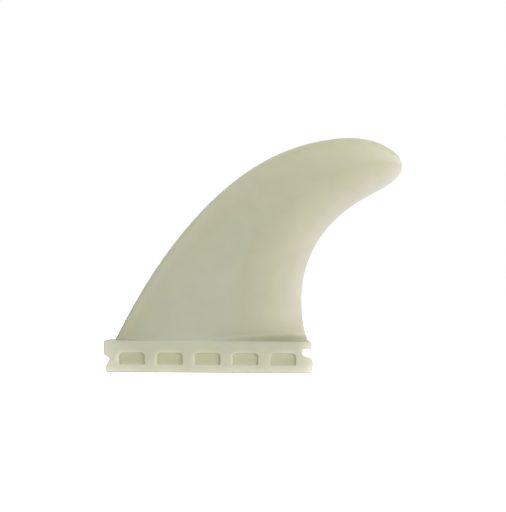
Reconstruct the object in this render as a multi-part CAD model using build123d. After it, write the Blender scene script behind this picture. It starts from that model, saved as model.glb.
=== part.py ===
from build123d import *

import os
from math import cos, radians, tan

# Side fin of a surfboard with a single-tab fin box: blade and mounting tab in one nylon moulding.
# Frame: origin at the centre of the tab's bottom face, +X aft, +Z up to the blade's crown.
# The foiled outer face looks towards -Y, the flat inner face towards +Y. Lengths are in mm, angles in degrees.

# Mounting tab
tab_length = 114.3
tab_height = 18.0
tab_thickness = 6.7
tab_edge_chamfer = 0.45

# Front end of the tab: an upper nose, a notch for the set screw and a lower nose that stands back
front_brow_height = 16.95
front_brow_angle = 22.0
front_brow_radius = 1.0
front_nose_bottom = 10.2
front_notch_height = 7.2
front_notch_depth = 3.6
front_notch_radius = 0.7
front_lower_setback = 1.3
front_lower_top = 3.4
front_lower_radius = 1.6

# Rear end of the tab: a slot for the box's lug between an upper and a lower lobe
rear_upper_setback = 0.8
rear_slot_depth = 5.0
rear_slot_bottom = 8.1
rear_slot_inner_bottom = 9.5
rear_slot_top = 13.3
rear_slot_radius = 1.0
rear_lower_bulge_height = 5.0
rear_foot_setback = 0.9
rear_corner_radius = 0.7
rear_brow_height = 16.3
rear_brow_angle = 45.0

# Pockets that core out the tab from both faces and leave a web between them
pocket_count = 5
pocket_pitch = 20.6
pocket_width = 14.3
pocket_height = 6.6
pocket_centre_height = 7.45
pocket_row_offset = -0.5
pocket_web = 2.0
pocket_upper_radius = 2.2
pocket_lower_radius = 1.0

# Planform of the blade, in the plane of its flat face: heights count from the tab's top.
# Each key point has a direction and two handles, which give the curve its fullness on either side.
lead_setback = 6.2
lead_angle = 63.6
lead_handle = 49.1
crown_reach = 128.4
blade_height = 110.8
crown_lead_handle = 64.7
crown_tip_handle = 13.8
tip_reach = 155.6
tip_drop = 15.1
tip_upper_handle = 7.6
tip_lower_handle = 7.8
shoulder_reach = 135.2
shoulder_drop = 32.7
shoulder_angle = 30.0
shoulder_tip_handle = 9.6
shoulder_waist_handle = 24.2
tail_setback = 2.5
waist_inset = 4.1
waist_height = 23.8
waist_upper_handle = 22.8
waist_lower_handle = 9.2
tail_angle = 53.0
tail_handle = 4.6

# Foil: flat inside, crowned outside, with a blunt nose and a thin tail
root_ledge = 0.1
tip_thickness = 1.0
nose_radius = 1.2
tip_nose_radius = 0.4
tail_thickness = 0.9
tip_tail_thickness = 0.6
crest_position = 0.42
fore_fullness = 0.62
fore_crest_handle = 0.50
aft_crest_handle = 0.24
aft_tail_handle = 0.48
tail_slope_factor = 1.05

# Cove that thickens the outer face where it runs down onto the tab
cove_height = 4.6
cove_nose_width = 0.7
cove_tail_width = 3.0
cove_exponent = 3

# Lean of the blade towards its foiled face
cant_angle = 6.5

# Stations along the trailing edge, from the root to just short of the tip
stations = (0.0, 0.02, 0.045, 0.08, 0.16, 0.28, 0.42, 0.56, 0.7, 0.82, 0.9, 0.955, 0.985, 0.997)
lead_lag = 1.25
flat_stock = 1.0

lead_x = lead_setback - tab_length / 2
tail_x = tab_length / 2 - tail_setback
root_chord = tail_x - lead_x
root_thickness = tab_thickness / cos(radians(cant_angle)) - root_ledge


def ahead(point, angle, distance):
    """Point at a distance from another one, in the direction of an angle above +X."""
    return point + Vector(distance, 0).rotate(Axis.Z, angle)


def leading_edge():
    """Planform curve from the root over the crown to the tip."""
    root = Vector(lead_x, 0)
    crown = Vector(lead_x + crown_reach, blade_height)
    tip = Vector(lead_x + tip_reach, blade_height - tip_drop)
    rise = Bezier(root, ahead(root, lead_angle, lead_handle), ahead(crown, 180, crown_lead_handle), crown)
    fall = Bezier(crown, ahead(crown, 0, crown_tip_handle), ahead(tip, 90, tip_upper_handle), tip)
    return Wire([rise, fall])


def trailing_edge():
    """Planform curve from the root up the flare, round the waist and out to the tip."""
    root = Vector(tail_x, 0)
    waist = Vector(tail_x - waist_inset, waist_height)
    shoulder = Vector(lead_x + shoulder_reach, blade_height - shoulder_drop)
    tip = Vector(lead_x + tip_reach, blade_height - tip_drop)
    flare = Bezier(
        root,
        ahead(root, 180 - tail_angle, tail_handle),
        ahead(waist, 270, waist_lower_handle),
        waist,
    )
    hollow = Bezier(
        waist,
        ahead(waist, 90, waist_upper_handle),
        ahead(shoulder, 180 + shoulder_angle, shoulder_waist_handle),
        shoulder,
    )
    under_tip = Bezier(
        shoulder,
        ahead(shoulder, shoulder_angle, shoulder_tip_handle),
        ahead(tip, 270, tip_lower_handle),
        tip,
    )
    return Wire([flare, hollow, under_tip])


def foil_section(front, back):
    """Foil between a point of the leading edge and one of the trailing edge, with stock under its flat side."""
    chord = (back - front).length
    share = chord / root_chord
    thickness = tip_thickness + (root_thickness - tip_thickness) * share
    nose = tip_nose_radius + (nose_radius - tip_nose_radius) * share
    tail = tip_tail_thickness + (tail_thickness - tip_tail_thickness) * share

    # The cove adds nothing at the crest, a little at the nose and most at the tail.
    cove = max(0, 1 - back.Y / cove_height) ** cove_exponent
    nose_top = nose + cove * cove_nose_width
    tail_top = tail + cove * cove_tail_width

    crest = crest_position * chord
    run = chord - crest
    tail_rise = tail_slope_factor * (thickness - tail_top) * aft_tail_handle
    round_nose = Bezier((nose, 0), (nose / 2, 0), (0, nose_top / 2), (0, nose_top))
    fore = Bezier(
        (0, nose_top),
        (0, nose_top + fore_fullness * (thickness - nose_top)),
        (crest * (1 - fore_crest_handle), thickness),
        (crest, thickness),
    )
    aft = Bezier(
        (crest, thickness),
        (crest + run * aft_crest_handle, thickness),
        (chord - run * aft_tail_handle, tail_top + tail_rise),
        (chord, tail_top),
    )
    stock = Polyline((chord, tail_top), (chord, -flat_stock), (nose, -flat_stock), (nose, 0))

    along = (back - front).normalized()
    plane = Plane(
        origin=(front.X, 0, front.Y),
        x_dir=(along.X, 0, along.Y),
        z_dir=(along.Y, 0, -along.X),
    )
    return plane * make_face([round_nose, fore, aft, stock])


def make_blade():
    """Blade as one loft of foils swung round the rake, cut flat inside and leaning over the tab's top edge."""
    lead = leading_edge()
    trail = trailing_edge()
    foils = [foil_section(lead @ station**lead_lag, trail @ station) for station in stations]
    upright = split(loft(foils), bisect_by=Plane.XZ, keep=Keep.TOP)
    return Pos(0, tab_thickness / 2, tab_height) * Rot(X=cant_angle) * upright


def rounded(sketch, points, radius):
    """Sketch with its corners at the given points rounded."""
    corners = [v for v in sketch.vertices() if any((Vector(v) - Vector(p)).length < 0.01 for p in points)]
    return fillet(corners, radius)


def tab_outline(top):
    """Side view of the tab, carried on above the blade's root to be cut off there."""
    front = -tab_length / 2
    rear = tab_length / 2
    upper_rear = rear - rear_upper_setback
    slot_floor = upper_rear - rear_slot_depth

    brow = (front, front_brow_height)
    nose_bottom = (front, front_nose_bottom)
    notch = (front + front_notch_depth, front_notch_height)
    lower_top = (front + front_lower_setback, front_lower_top)
    lower_foot = (front + front_lower_setback, 0)
    rear_foot = (rear - rear_foot_setback, 0)
    bulge = (rear, rear_lower_bulge_height)
    slot_lip = (upper_rear, rear_slot_bottom)
    slot_inner_bottom = (slot_floor, rear_slot_inner_bottom)
    slot_inner_top = (slot_floor, rear_slot_top)
    slot_top = (upper_rear, rear_slot_top)
    rear_brow = (upper_rear, rear_brow_height)
    rear_end = (upper_rear - (top - rear_brow_height) / tan(radians(rear_brow_angle)), top)
    front_end = (front + (top - front_brow_height) / tan(radians(front_brow_angle)), top)

    lower_side = Polyline(brow, nose_bottom, notch, lower_top, lower_foot, rear_foot, bulge, slot_lip)
    slot_side = Polyline(slot_lip, slot_inner_bottom, slot_inner_top, slot_top, rear_brow, rear_end)
    upper_side = Polyline(rear_end, front_end, brow)
    outline = make_face([lower_side, slot_side, upper_side])
    outline = rounded(outline, [brow], front_brow_radius)
    outline = rounded(outline, [notch], front_notch_radius)
    outline = rounded(outline, [nose_bottom, lower_top, lower_foot], front_lower_radius)
    outline = rounded(outline, [slot_inner_bottom, slot_inner_top], rear_slot_radius)
    return rounded(outline, [rear_foot, bulge, slot_lip, slot_top], rear_corner_radius)


def pocket_mouth():
    """Mouth of one pocket, with wide rounds at its upper corners and tight ones at its lower corners."""
    mouth = Rectangle(pocket_width, pocket_height)
    mouth = fillet(mouth.vertices().group_by(Axis.Y)[-1], pocket_upper_radius)
    return fillet(mouth.vertices().group_by(Axis.Y)[0], pocket_lower_radius)


def make_tab():
    """Tab with softened edges, cut to the slope of the blade's root and cored out from both faces."""
    pocket_depth = (tab_thickness - pocket_web) / 2
    slope_rise = tab_thickness * tan(radians(cant_angle))
    blank = extrude(Plane.XZ * tab_outline(tab_height + slope_rise), tab_thickness / 2, both=True)
    sides = blank.faces().sort_by(Axis.Y)
    blank = chamfer(sides[0].edges() + sides[-1].edges(), tab_edge_chamfer)
    root = Plane(origin=(0, tab_thickness / 2, tab_height), z_dir=Vector(0, 0, 1).rotate(Axis.X, cant_angle))
    tab = split(blank, bisect_by=root, keep=Keep.BOTTOM)

    mouths = [place * pocket_mouth() for place in GridLocations(pocket_pitch, 0, pocket_count, 1)]
    for outward in (-1, 1):
        face = Plane(
            origin=(pocket_row_offset, outward * tab_thickness / 2, pocket_centre_height),
            x_dir=(1, 0, 0),
            z_dir=(0, -1, 0),
        )
        tab -= [extrude(face * mouth, outward * pocket_depth) for mouth in mouths]
    return tab


def make_fin():
    """Blade and tab joined into the one moulding."""
    return make_tab() + make_blade()


os.makedirs("parts", exist_ok=True)
fin = make_fin()
export_step(fin, "parts/fin.step")
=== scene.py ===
"""Looks of a surfboard side fin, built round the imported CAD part: one moulding in translucent nylon."""

import logging
import math
from dataclasses import dataclass
from enum import Enum

import bmesh
import bpy
from mathutils import Matrix, Vector
from mathutils.bvhtree import BVHTree


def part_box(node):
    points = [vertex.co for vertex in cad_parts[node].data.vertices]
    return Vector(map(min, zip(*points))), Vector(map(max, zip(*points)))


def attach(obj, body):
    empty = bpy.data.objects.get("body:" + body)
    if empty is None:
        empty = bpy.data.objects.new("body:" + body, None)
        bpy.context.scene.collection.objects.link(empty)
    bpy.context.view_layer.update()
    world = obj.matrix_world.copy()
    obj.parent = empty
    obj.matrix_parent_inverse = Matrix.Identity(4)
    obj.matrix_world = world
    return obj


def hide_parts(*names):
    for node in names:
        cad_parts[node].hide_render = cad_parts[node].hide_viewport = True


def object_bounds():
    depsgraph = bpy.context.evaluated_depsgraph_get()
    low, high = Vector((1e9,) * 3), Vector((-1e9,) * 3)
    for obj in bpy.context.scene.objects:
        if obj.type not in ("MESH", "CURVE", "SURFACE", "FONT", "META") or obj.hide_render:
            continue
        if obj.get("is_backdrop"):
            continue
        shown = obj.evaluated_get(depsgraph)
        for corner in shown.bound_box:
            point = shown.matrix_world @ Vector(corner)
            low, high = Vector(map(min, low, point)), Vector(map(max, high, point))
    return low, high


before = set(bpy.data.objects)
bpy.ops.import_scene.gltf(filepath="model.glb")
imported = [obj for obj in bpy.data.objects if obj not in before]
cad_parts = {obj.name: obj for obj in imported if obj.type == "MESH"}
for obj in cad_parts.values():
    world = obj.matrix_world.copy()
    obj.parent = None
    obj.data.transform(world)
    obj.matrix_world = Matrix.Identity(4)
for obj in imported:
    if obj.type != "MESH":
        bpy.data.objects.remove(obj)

MM = 0.001
TAB_LENGTH_MM = 114.3
WALL_ATTRIBUTE = "wall_depth"
PAINTED_LIGHT_ATTRIBUTE = "paleness"

# Nearly all values of a noise node lie between these two.
NOISE_LOW = 0.3
NOISE_HIGH = 0.7

log = logging.getLogger("surfboard_fin")


class Axis(Enum):
    """A direction of the part's frame."""

    AFT = (1.0, 0.0, 0.0)
    UP = (0.0, 0.0, 1.0)


def linear(hex_colour: str) -> tuple[float, float, float, float]:
    """Turns an sRGB hex colour into linear light.

    Args:
        hex_colour: The colour as #RRGGBB.

    Returns:
        Linear red, green and blue, and an alpha of 1.
    """
    parts = [int(hex_colour[i : i + 2], 16) / 255 for i in (1, 3, 5)]
    red, green, blue = (c / 12.92 if c <= 0.04045 else ((c + 0.055) / 1.055) ** 2.4 for c in parts)
    return red, green, blue, 1.0


def interpolate(places: tuple[float, ...], levels: tuple[float, ...], at: float) -> float:
    """Reads a level between the places it is given for.

    Args:
        places: Places in rising order.
        levels: The level at each place.
        at: The place to read. Beyond the first or last place, that place's level holds.

    Returns:
        The level there.
    """
    for start, end, first, last in zip(places, places[1:], levels, levels[1:]):
        if at < end:
            return first + (last - first) * max(0.0, (at - start) / (end - start))
    return levels[-1]


def way_out(tree: BVHTree, start: Vector, direction: Vector, reach: float) -> float:
    """Measures how far a ray gets before it meets the mesh, at most its reach."""
    distance = tree.ray_cast(start, direction, reach)[3]
    return reach if distance is None else distance


def smoothed(bm: bmesh.types.BMesh, levels: dict[int, float]) -> dict[int, float]:
    """Takes each vertex's level half way to the mean of its neighbours' levels.

    Args:
        bm: The mesh, with the numbers of its vertices up to date.
        levels: The level of each vertex, by its number.

    Returns:
        The new levels.
    """
    evened = {}
    for vert in bm.verts:
        around = [levels[edge.other_vert(vert).index] for edge in vert.link_edges]
        evened[vert.index] = (levels[vert.index] + sum(around) / len(around)) / 2
    return evened


def add_node(
    tree: bpy.types.NodeTree,
    kind: str,
    inputs: dict[str | int, object] | None = None,
    **settings: object,
) -> bpy.types.Node:
    """Adds a shader node with its settings and links.

    Args:
        tree: The node tree that takes the node.
        kind: The node's Blender type.
        inputs: For each input, by name or number, a value or the output socket that feeds it.
        **settings: Values of the node's own properties.

    Returns:
        The new node.
    """
    node = tree.nodes.new(kind)
    for name, value in settings.items():
        setattr(node, name, value)
    for key, value in (inputs or {}).items():
        if isinstance(value, bpy.types.NodeSocket):
            tree.links.new(value, node.inputs[key])
        else:
            node.inputs[key].default_value = value
    return node


def looked_at(tree: bpy.types.NodeTree) -> bpy.types.NodeSocket:
    """Tells rays that look at a background, also by way of gloss or glass, from those that only light.

    Args:
        tree: The node tree that takes the nodes.

    Returns:
        A socket that is 1 for a camera, glossy or transmission ray and 0 for any other.
    """
    rays = add_node(tree, "ShaderNodeLightPath").outputs
    seen = rays["Is Camera Ray"]
    for ray in ("Is Glossy Ray", "Is Transmission Ray"):
        seen = add_node(tree, "ShaderNodeMath", {0: seen, 1: rays[ray]}, operation="MAXIMUM").outputs[0]
    return seen


@dataclass(frozen=True)
class MouldedNylon:
    """Natural glass-filled nylon, injection moulded in a polished and lightly etched steel mould.

    To the eye it is a pale grey-green body with a satin skin. Light gets some millimetres into it, so that
    thin walls and the stretches along an edge look lighter and warmer than the thick middle of the foil.
    Beside the subsurface scattering, that light is painted into the base colour by wall depth, with painted
    light and shade at given places on top.
    """

    name: str = "glass_filled_nylon_moulded"
    # Base colour by wall depth: the deepest stop is the body's own tone, the paler thin-wall stops are
    # painted light shining through.
    depths_mm: tuple[float, ...] = (1.2, 2.1, 3.4, 4.4, 5.5, 6.9, 7.8)
    colours: tuple[str, ...] = ("#CAC7BE", "#CDCAB9", "#CAC8AE", "#C5C4A7", "#BFBEA3", "#BAB99D", "#BBBCA6")
    # How strongly red, green and blue each take the painted light and shade.
    painted_light_share: tuple[float, float, float] = (1.0, 1.0, 1.45)
    mottle_mm: float = 9.0
    mottle_detail: float = 3.0
    mottle_roughness: float = 0.55
    mottle_strength: float = 0.025
    grain_mm: float = 0.55
    grain_detail: float = 2.0
    grain_roughness: float = 0.6
    grain_depth_mm: float = 0.006
    roughness_low: float = 0.36
    roughness_high: float = 0.48
    ior: float = 1.53
    scatter_weight: float = 0.8
    scatter_mm: float = 2.5
    scatter_share: tuple[float, float, float] = (1.0, 0.98, 0.93)

    def build(self) -> bpy.types.Material:
        """Builds the material's nodes.

        Returns:
            The finished material.
        """
        material = bpy.data.materials.new(self.name)
        material.use_nodes = True
        tree = material.node_tree
        tree.nodes.clear()
        place = add_node(tree, "ShaderNodeTexCoord").outputs["Object"]
        tone = self._tone(tree, place)
        roughness, normal = self._skin(tree, place)
        shader = add_node(
            tree,
            "ShaderNodeBsdfPrincipled",
            {
                "Base Color": tone,
                "Roughness": roughness,
                "Normal": normal,
                "IOR": self.ior,
                "Subsurface Weight": self.scatter_weight,
                "Subsurface Radius": self.scatter_share,
                "Subsurface Scale": self.scatter_mm * MM,
            },
        )
        add_node(tree, "ShaderNodeOutputMaterial", {"Surface": shader.outputs["BSDF"]})
        return material

    def _tone(self, tree: bpy.types.NodeTree, place: bpy.types.NodeSocket) -> bpy.types.NodeSocket:
        """Adds the nodes that give the body its colour: by the wall's depth, which paints light through
        thin walls, with clouds, and with painted light and shade at given places.

        Args:
            tree: The material's node tree.
            place: The socket with the place on the piece.

        Returns:
            The socket with the colour.
        """
        wall = add_node(tree, "ShaderNodeAttribute", attribute_name=WALL_ATTRIBUTE).outputs["Fac"]
        depth = add_node(
            tree,
            "ShaderNodeMapRange",
            {"Value": wall, "From Min": 0.0, "From Max": self.depths_mm[-1], "To Min": 0.0, "To Max": 1.0},
        )
        ramp = add_node(tree, "ShaderNodeValToRGB", {"Fac": depth.outputs["Result"]})
        stops = ramp.color_ramp.elements
        for _ in self.depths_mm[2:]:
            stops.new(0.5)
        for stop, millimetres, colour in zip(stops, self.depths_mm, self.colours, strict=True):
            stop.position = millimetres / self.depths_mm[-1]
            stop.color = linear(colour)

        # The glass fibre and the flow of the melt leave soft clouds, a little lighter and darker.
        mottle = add_node(
            tree,
            "ShaderNodeTexNoise",
            {
                "Vector": place,
                "Scale": 1 / (self.mottle_mm * MM),
                "Detail": self.mottle_detail,
                "Roughness": self.mottle_roughness,
            },
        )
        clouds = add_node(
            tree,
            "ShaderNodeMapRange",
            {
                "Value": mottle.outputs["Fac"],
                "From Min": NOISE_LOW,
                "From Max": NOISE_HIGH,
                "To Min": 1 - self.mottle_strength,
                "To Max": 1 + self.mottle_strength,
            },
        )
        clouded = add_node(
            tree,
            "ShaderNodeVectorMath",
            {0: ramp.outputs["Color"], "Scale": clouds.outputs["Result"]},
            operation="SCALE",
        )
        # Painted light and shade from the mesh's layer: paler where light would shine through, darker along
        # the root and in the pockets.
        painted_light = add_node(tree, "ShaderNodeAttribute", attribute_name=PAINTED_LIGHT_ATTRIBUTE).outputs["Fac"]
        lift = add_node(
            tree,
            "ShaderNodeVectorMath",
            {0: painted_light, 1: self.painted_light_share, 2: (1.0, 1.0, 1.0)},
            operation="MULTIPLY_ADD",
        )
        tinted = add_node(
            tree,
            "ShaderNodeVectorMath",
            {0: clouded.outputs["Vector"], 1: lift.outputs["Vector"]},
            operation="MULTIPLY",
        )
        return tinted.outputs["Vector"]

    def _skin(
        self, tree: bpy.types.NodeTree, place: bpy.types.NodeSocket
    ) -> tuple[bpy.types.NodeSocket, bpy.types.NodeSocket]:
        """Adds the nodes that give the skin its satin grain.

        Args:
            tree: The material's node tree.
            place: The socket with the place on the piece.

        Returns:
            The sockets with the roughness and with the normal.
        """
        # The etched skin's grain is finer than a pixel, so it is drawn about three times as coarse.
        grain = add_node(
            tree,
            "ShaderNodeTexNoise",
            {
                "Vector": place,
                "Scale": 1 / (self.grain_mm * MM),
                "Detail": self.grain_detail,
                "Roughness": self.grain_roughness,
            },
        )
        satin = add_node(
            tree,
            "ShaderNodeMapRange",
            {
                "Value": grain.outputs["Fac"],
                "From Min": NOISE_LOW,
                "From Max": NOISE_HIGH,
                "To Min": self.roughness_low,
                "To Max": self.roughness_high,
            },
        )
        skin = add_node(
            tree,
            "ShaderNodeBump",
            {"Height": grain.outputs["Fac"], "Strength": 1.0, "Distance": self.grain_depth_mm * MM},
        )
        return satin.outputs["Result"], skin.outputs["Normal"]


@dataclass(frozen=True)
class MattPaper:
    """Uncoated white paper sweep. To the eye it is plain white, and shows only the object's shadow."""

    name: str = "white_paper_matt"
    colour: str = "#EDEDEA"
    glow: float = 0.92

    def build(self) -> bpy.types.Material:
        """Builds the material's nodes.

        Returns:
            The finished material.
        """
        material = bpy.data.materials.new(self.name)
        material.use_nodes = True
        tree = material.node_tree
        tree.nodes.clear()
        seen = looked_at(tree)
        strength = add_node(tree, "ShaderNodeMath", {0: seen, 1: self.glow}, operation="MULTIPLY")
        glow = add_node(tree, "ShaderNodeEmission", {"Strength": strength.outputs[0]})
        paper = add_node(tree, "ShaderNodeBsdfDiffuse", {"Color": linear(self.colour)})
        both = add_node(tree, "ShaderNodeAddShader", {0: glow.outputs[0], 1: paper.outputs[0]})
        add_node(tree, "ShaderNodeOutputMaterial", {"Surface": both.outputs[0]})
        return material


@dataclass
class FinMoulding:
    """The fin's one moulding: a shaded copy of the CAD solid that knows how deep its wall is at each point.

    Lengths are in millimetres and angles in degrees. Paleness is painted light: the share by which a place
    is lighter than the blade's own tone for its wall depth; shade is painted shade, the share by which it
    is darker.
    """

    node: str = "fin"
    name: str = "fin_moulding"
    slot: str = "moulded_nylon"
    finish: MouldedNylon = MouldedNylon()

    # Sizes of the CAD solid
    root_height: float = 18.0
    tab_thickness: float = 6.7
    lean: float = 6.5
    web: float = 2.0

    # Mesh
    merge_distance: float = 0.002
    root_tolerance: float = 0.02
    flat_angle: float = 0.1
    rim_angle: float = 80.0
    crease_angle: float = 24.0
    slice_pitch: float = 3.0
    mouth_radius: float = 0.3
    floor_radius: float = 0.4
    rim_segments: int = 4

    # The row of pockets keeps clear of the foot by row_foot, and of the ends and the root by row_margin.
    row_foot: float = 2.25
    row_margin: float = 4.5

    # Wall depth: rays from just under the skin count for more, the nearer they point aft and down, to the
    # thin side the light comes from; so the depth tone paints light falling from that side.
    skin_depth: float = 0.04
    reach: float = 9.0
    ring_angles: tuple[float, ...] = (35.0, 62.0)
    rays_in_ring: int = 6
    light_side_pull: float = 2.0
    smoothing_rounds: int = 2

    # Painted light: places painted paler, as if lit through thin or edge-lit nylon; the pockets' floors
    # take painted shade
    lead_painted_light: float = 0.16
    lead_depth: float = 1.3
    tip_painted_light: float = 0.10
    tip_depth: float = 11.0
    tab_painted_light: float = 0.12
    foot_painted_light: float = 0.18
    foot_depth: float = 4.5
    end_painted_light: float = 0.28
    end_depth: float = 7.0
    pocket_painted_shade: float = -0.10
    pocket_wall_painted_light: float = 0.7
    rear_wall_painted_light: float = 0.3

    # Painted shade along the blade's root and the tab's rim under it, and the painted glow of the thin tail
    # in it
    root_places: tuple[float, ...] = (-50.0, -36.0, -23.0, -10.0, 3.0, 10.0, 24.0, 36.0, 43.0, 50.0, 54.0)
    root_painted_shades: tuple[float, ...] = (0.12, 0.07, -0.02, -0.06, 0.05, 0.15, 0.15, 0.2, 0.21, 0.13, 0.12)
    root_painted_glows: tuple[float, ...] = (0.0, 0.0, 0.0, 0.0, 0.0, 0.0, 0.0, 0.0, 0.08, 0.33, 0.4)
    root_painted_shade_height: float = 2.4
    root_painted_glow_height: float = 2.0
    ledge_share: float = 0.7
    ledge_depth: float = 2.5

    def build(self) -> bpy.types.Object:
        """Builds the piece, hides the CAD node behind it and sets it on the part's body.

        Returns:
            The finished piece.
        """
        bm = bmesh.new()
        bm.from_mesh(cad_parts[self.node].data)
        bmesh.ops.remove_doubles(bm, verts=bm.verts, dist=self.merge_distance * MM)
        self._soften_pockets(bm)
        self._slice(bm)
        self._write_wall_depth(bm)
        self._write_painted_light(bm)
        for face in bm.faces:
            face.smooth = True
        self._crease(bm)

        mesh = bpy.data.meshes.new(self.name)
        bm.to_mesh(mesh)
        bm.free()
        mesh.materials.append(self.finish.build())
        piece = bpy.data.objects.new(self.name, mesh)
        bpy.context.scene.collection.objects.link(piece)
        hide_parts(self.node)
        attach(piece, "root")
        return piece

    def _soften_pockets(self, bm: bmesh.types.BMesh) -> None:
        """Rounds the pockets' mouths and the corners round their floors, as the mould's own radii do.

        The facets of each flat face are joined first, so that nothing but the rims is left to round.

        Args:
            bm: The moulding's mesh, which is changed.
        """
        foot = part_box(self.node)[0].z
        lowest, highest = self.row_foot * MM, (self.root_height - self.row_foot) * MM
        face_depth, floor_depth = self.tab_thickness / 2 * MM, self.web / 2 * MM
        flat_limit, rim_limit = math.radians(self.flat_angle), math.radians(self.rim_angle)
        for depth in (face_depth, floor_depth):
            flat = [
                edge
                for edge in bm.edges
                if self._lies_at(edge, depth) and edge.calc_face_angle(math.pi) < flat_limit
            ]
            bmesh.ops.dissolve_edges(bm, edges=flat, use_verts=False)
        for depth, radius in ((face_depth, self.mouth_radius), (floor_depth, self.floor_radius)):
            rims = [
                edge
                for edge in bm.edges
                if self._lies_at(edge, depth)
                and edge.calc_face_angle(0.0) > rim_limit
                and all(lowest < vert.co.z - foot < highest for vert in edge.verts)
            ]
            bmesh.ops.bevel(
                bm,
                geom=rims,
                offset=radius * MM,
                offset_type="OFFSET",
                segments=self.rim_segments,
                profile=0.5,
                affect="EDGES",
                clamp_overlap=True,
                material=-1,
            )

    def _lies_at(self, edge: bmesh.types.BMEdge, depth: float) -> bool:
        """Says whether an edge lies at a given distance, in metres, on either side of the tab's middle."""
        tolerance = self.merge_distance * MM
        return all(abs(abs(vert.co.y) - depth) < tolerance for vert in edge.verts)

    def _slice(self, bm: bmesh.types.BMesh) -> None:
        """Cuts the long facets along a square grid, so that the wall's depth can vary over them.

        Args:
            bm: The moulding's mesh, which is changed.
        """
        low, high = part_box(self.node)
        pitch = self.slice_pitch * MM
        for axis in (Axis.AFT, Axis.UP):
            normal = Vector(axis.value)
            start, end = low.dot(normal), high.dot(normal)
            for step in range(1, math.ceil((end - start) / pitch)):
                bmesh.ops.bisect_plane(
                    bm,
                    geom=[*bm.verts, *bm.edges, *bm.faces],
                    dist=self.merge_distance * MM,
                    plane_co=normal * (start + step * pitch),
                    plane_no=normal,
                )

    def _crease(self, bm: bmesh.types.BMesh) -> None:
        """Keeps the arrises sharp, and the faint line where the flat face leans away from the tab.

        Args:
            bm: The moulding's mesh, which is changed.
        """
        limit = math.radians(self.crease_angle)
        height, tolerance = self.root_height * MM, self.root_tolerance * MM
        for edge in bm.edges:
            at_root = all(abs(vert.co.z - height) < tolerance for vert in edge.verts)
            edge.smooth = edge.calc_face_angle(0.0) < limit and not at_root

    def _inward_rays(self) -> list[Vector]:
        """Lays out the directions in which one sees into a wall whose skin faces up.

        Returns:
            One direction straight in, and rings of slanting ones round it.
        """
        rays = [Vector((0.0, 0.0, -1.0))]
        for ring, tilt in enumerate(map(math.radians, self.ring_angles)):
            for step in range(self.rays_in_ring):
                turn = math.tau * (step + ring / 2) / self.rays_in_ring
                slope = math.sin(tilt)
                rays.append(Vector((math.cos(turn) * slope, math.sin(turn) * slope, -math.cos(tilt))))
        return rays

    def _write_wall_depth(self, bm: bmesh.types.BMesh) -> None:
        """Writes how far one sees into the material at each vertex before coming out again, in mm, with
        rays towards the side the light comes from weighted more, which makes the depth tone partly painted
        light.

        Args:
            bm: The moulding's mesh, which gets the layer.
        """
        bm.normal_update()
        bm.verts.index_update()
        tree = BVHTree.FromBMesh(bm)
        inward = self._inward_rays()
        # Aft and down: the side the light comes from. Its rays weigh more, which paints light from there
        # into the depth tone.
        light_side = (Vector(Axis.AFT.value) - Vector(Axis.UP.value)).normalized()
        depths: dict[int, float] = {}
        for vert in bm.verts:
            turned = vert.normal.to_track_quat("Z", "Y")
            start = vert.co - vert.normal * self.skin_depth * MM
            total = weights = 0.0
            for ray in inward:
                direction = turned @ ray
                weight = (1 + direction.dot(light_side)) ** self.light_side_pull
                total += weight * way_out(tree, start, direction, self.reach * MM)
                weights += weight
            depths[vert.index] = total / weights / MM

        for _ in range(self.smoothing_rounds):
            depths = smoothed(bm, depths)
        layer = bm.verts.layers.float.new(WALL_ATTRIBUTE)
        for vert in bm.verts:
            vert[layer] = depths[vert.index]

    def _write_painted_light(self, bm: bmesh.types.BMesh) -> None:
        """Writes the painted light and shade: how much paler or darker each place is than the blade's own
        tone for its wall depth.

        The cored-out tab is painted paler, as if lit through, most of all along its foot and ends. So are
        the blade's tip and its leading edge. A soft painted shade lies along the blade's root, and in the
        pockets.

        Args:
            bm: The moulding's mesh, which gets the layer.
        """
        low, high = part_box(self.node)
        half_width = self.tab_thickness / 2 * MM
        tolerance = self.root_tolerance * MM
        layer = bm.verts.layers.float.new(PAINTED_LIGHT_ATTRIBUTE)
        bm.normal_update()
        tree = BVHTree.FromBMesh(bm)
        for vert in bm.verts:
            above_foot = vert.co.z - low.z
            root = self.root_height * MM + (vert.co.y - half_width) * math.tan(math.radians(self.lean))
            if above_foot < root + tolerance:
                vert[layer] = self._tab_painted_light(vert, low, root)
            else:
                vert[layer] = self._blade_painted_light(vert, tree, high.x, above_foot - root)

    def _blade_painted_light(self, vert: bmesh.types.BMVert, tree: BVHTree, tip: float, height: float) -> float:
        """Finds the painted light and shade of a place on the blade.

        Args:
            vert: The place.
            tree: The moulding's faces, for casting rays.
            tip: How far aft the tip lies, in metres.
            height: Height of the place above the blade's root, in metres.

        Returns:
            The share by which the place is painted paler; below zero, painted darker.
        """
        # Painted light at the leading edge and the tip; painted shade along the root of the outer face.
        tone = self.lead_painted_light * math.exp(-self._depth_of_lead(vert, tree) / (self.lead_depth * MM))
        tone += self.tip_painted_light * math.exp((vert.co.x - tip) / (self.tip_depth * MM))
        if vert.normal.y < 0:
            tone -= self._root_painted_shade(vert.co.x / MM, height / MM)
        return tone

    def _depth_of_lead(self, vert: bmesh.types.BMVert, tree: BVHTree) -> float:
        """Measures from the middle of the wall behind a place, forwards and up, to the blade's edge.

        Args:
            vert: The place.
            tree: The moulding's faces, for casting rays.

        Returns:
            The distance in metres, at most the reach.
        """
        reach = self.reach * MM
        inward = Vector((0.0, math.copysign(1.0, -vert.normal.y), 0.0))
        start = vert.co - vert.normal * self.skin_depth * MM
        wall = way_out(tree, start, inward, reach)
        forward = (Vector(Axis.UP.value) - Vector(Axis.AFT.value)).normalized()
        return way_out(tree, start + inward * wall / 2, forward, reach)

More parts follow.
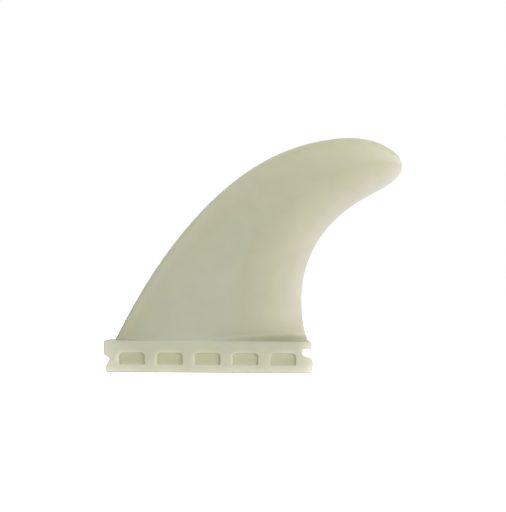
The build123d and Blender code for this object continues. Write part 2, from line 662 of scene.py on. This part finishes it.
    def _root_painted_shade(self, aft: float, height: float) -> float:
        """Finds the painted shade on the foot of the outer face, where the tab's ledge would keep light
        from it.

        Args:
            aft: Place along the tab in millimetres, from its middle.
            height: Height above the blade's root in millimetres.

        Returns:
            The share by which the place is painted darker, less the painted glow of the thin tail close to
            the ledge.
        """
        rise = height / self.root_painted_shade_height
        shade = interpolate(self.root_places, self.root_painted_shades, aft) * rise * math.exp(1 - rise)
        glow = interpolate(self.root_places, self.root_painted_glows, aft)
        return shade - glow * math.exp(-height / self.root_painted_glow_height)

    def _tab_painted_light(self, vert: bmesh.types.BMVert, low: Vector, root: float) -> float:
        """Finds the painted light and shade of a place on the tab.

        Args:
            vert: The place.
            low: The lowest corner of the moulding's box.
            root: Height of the blade's root above the foot at that place, in metres.

        Returns:
            The share by which the place is painted paler; below zero, painted darker.
        """
        above_foot = vert.co.z - low.z
        from_end = max(0.0, min(vert.co.x - low.x, low.x + TAB_LENGTH_MM * MM - vert.co.x))
        # Painted light: the cored-out tab, most of all its foot and ends, is painted paler as if lit
        # through.
        tone = self.tab_painted_light + self.foot_painted_light * math.exp(-above_foot / (self.foot_depth * MM))
        tone += self.end_painted_light * math.exp(-from_end / (self.end_depth * MM))
        # Painted shade on the tab's outer face just under the blade's root.
        if vert.co.y < 0:
            shade = max(0.0, interpolate(self.root_places, self.root_painted_shades, vert.co.x / MM))
            tone -= self.ledge_share * shade * math.exp((above_foot - root) / (self.ledge_depth * MM))

        margin = self.row_margin * MM
        in_row = self.row_foot * MM < above_foot < root - margin and from_end > margin
        wall_top = (self.tab_thickness / 2 - self.mouth_radius / 2) * MM
        if not in_row or abs(vert.co.y) > wall_top:
            return tone
        # Painted shade on a pocket's floor; its wall is painted palest where it is steep, and more where it
        # faces
        #         forward, away from the key lamp, to lift the shade there. Its rounds run into the floor's
        #         tone and the face's.
        flat = self.pocket_painted_shade if abs(vert.co.y) < self.web * MM else tone
        wall = self.pocket_wall_painted_light + self.rear_wall_painted_light * max(0.0, -vert.normal.x)
        return flat + (wall - flat) * math.sqrt(max(0.0, 1 - vert.normal.y**2))


@dataclass(frozen=True)
class SoftBox:
    """One large soft lamp. Places and sizes are in metres, power in watts."""

    name: str
    place: tuple[float, float, float]
    width: float
    height: float
    power: float
    aim: tuple[float, float, float] = (0.03, 0.0, 0.06)
    colour: str = "#FFFFFF"

    def build(self) -> bpy.types.Object:
        """Adds the lamp to the scene.

        Returns:
            The lamp's object.
        """
        light = bpy.data.lights.new(self.name, "AREA")
        light.shape = "RECTANGLE"
        light.size = self.width
        light.size_y = self.height
        light.energy = self.power
        light.color = linear(self.colour)[:3]
        lamp = bpy.data.objects.new(self.name, light)
        lamp.location = self.place
        lamp.rotation_euler = (Vector(self.aim) - Vector(self.place)).to_track_quat("-Z", "Y").to_euler()
        bpy.context.scene.collection.objects.link(lamp)
        return lamp


@dataclass
class Studio:
    """White floor, white surround and plain soft light. Lengths are in metres."""

    floor_half_width: float = 4.0
    floor_gap: float = 0.0001
    surround: str = "#FFFFFF"
    surround_light: float = 0.24
    paper: MattPaper = MattPaper()
    lamps: tuple[SoftBox, ...] = (
        SoftBox("key_softbox", (0.70, -1.4, 0.13), width=1.0, height=0.24, power=12.8),
        SoftBox("fill_softbox", (-0.7, -1.4, 0.13), width=0.9, height=0.24, power=5.2),
        SoftBox("rear_key_softbox", (0.8, 1.2, 0.3), width=0.9, height=0.5, power=12.0),
        SoftBox("rear_fill_softbox", (-0.6, 1.4, 0.3), width=0.9, height=0.5, power=9.0),
    )

    def build(self) -> None:
        """Builds the floor, the lamps and the surround."""
        self._floor()
        for lamp in self.lamps:
            lamp.build()
        self._surround()

    def _floor(self) -> None:
        """Lays the paper just under the part's foot, so that the two faces don't coincide."""
        bm = bmesh.new()
        bmesh.ops.create_grid(bm, x_segments=1, y_segments=1, size=self.floor_half_width)
        mesh = bpy.data.meshes.new("paper_floor")
        bm.to_mesh(mesh)
        bm.free()
        mesh.materials.append(self.paper.build())
        floor = bpy.data.objects.new("paper_floor", mesh)
        floor.location = (0.0, 0.0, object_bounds()[0].z - self.floor_gap)
        bpy.context.scene.collection.objects.link(floor)
        floor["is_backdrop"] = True

    def _surround(self) -> None:
        """Sets a world that is white to look at and lights the part evenly at a lower level."""
        world = bpy.data.worlds.new("white_surround")
        bpy.context.scene.world = world
        world.use_nodes = True
        tree = world.node_tree
        tree.nodes.clear()
        strength = add_node(
            tree,
            "ShaderNodeMapRange",
            {"Value": looked_at(tree), "To Min": self.surround_light, "To Max": 1.0},
        )
        light = add_node(
            tree,
            "ShaderNodeBackground",
            {"Color": linear(self.surround), "Strength": strength.outputs["Result"]},
        )
        add_node(tree, "ShaderNodeOutputWorld", {"Surface": light.outputs[0]})


@dataclass
class PhotoCamera:
    """Camera square on to the foiled face, framed as the photograph is.

    Pixel values count from the centre of the image's first pixel, lengths are in millimetres.
    """

    image_width: int = 506
    image_height: int = 512
    tab_length_pixels: float = 209.5
    tab_middle_pixel: float = 207.85
    foot_pixel: float = 372.0
    roll_degrees: float = 0.37
    distance: float = 2000.0
    sensor: float = 36.0
    clip_near: float = 50.0
    clip_far: float = 50000.0

    def build(self) -> bpy.types.Object:
        """Adds the camera and makes it the scene's.

        Returns:
            The camera's object.
        """
        pitch = TAB_LENGTH_MM / self.tab_length_pixels
        across = ((self.image_width - 1) / 2 - self.tab_middle_pixel) * pitch
        up = (self.foot_pixel - (self.image_height - 1) / 2) * pitch
        roll = math.radians(self.roll_degrees)
        place = Vector(
            (
                across * math.cos(roll) - up * math.sin(roll),
                -self.distance,
                across * math.sin(roll) + up * math.cos(roll),
            )
        )
        data = bpy.data.cameras.new("photo_camera")
        data.sensor_width = self.sensor
        data.lens = self.sensor * self.distance / (self.image_height * pitch)
        data.clip_start = self.clip_near * MM
        data.clip_end = self.clip_far * MM
        camera = bpy.data.objects.new("photo_camera", data)
        turn = Matrix.Rotation(math.radians(90.0), 4, "X") @ Matrix.Rotation(roll, 4, "Z")
        camera.matrix_world = Matrix.Translation(place * MM) @ turn
        bpy.context.scene.collection.objects.link(camera)
        bpy.context.scene.camera = camera
        return camera


def main() -> None:
    """Builds the part's looks, the studio and the camera in order."""
    logging.basicConfig(level=logging.INFO, format="%(name)s: %(message)s")
    bpy.context.scene.view_settings.view_transform = "Standard"
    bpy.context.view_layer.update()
    piece = FinMoulding().build()
    log.info("%s: %d faces", piece.name, len(piece.data.polygons))
    Studio().build()
    log.info("studio built")
    PhotoCamera().build()
    log.info("camera built")


if __name__ == "__main__":
    main()
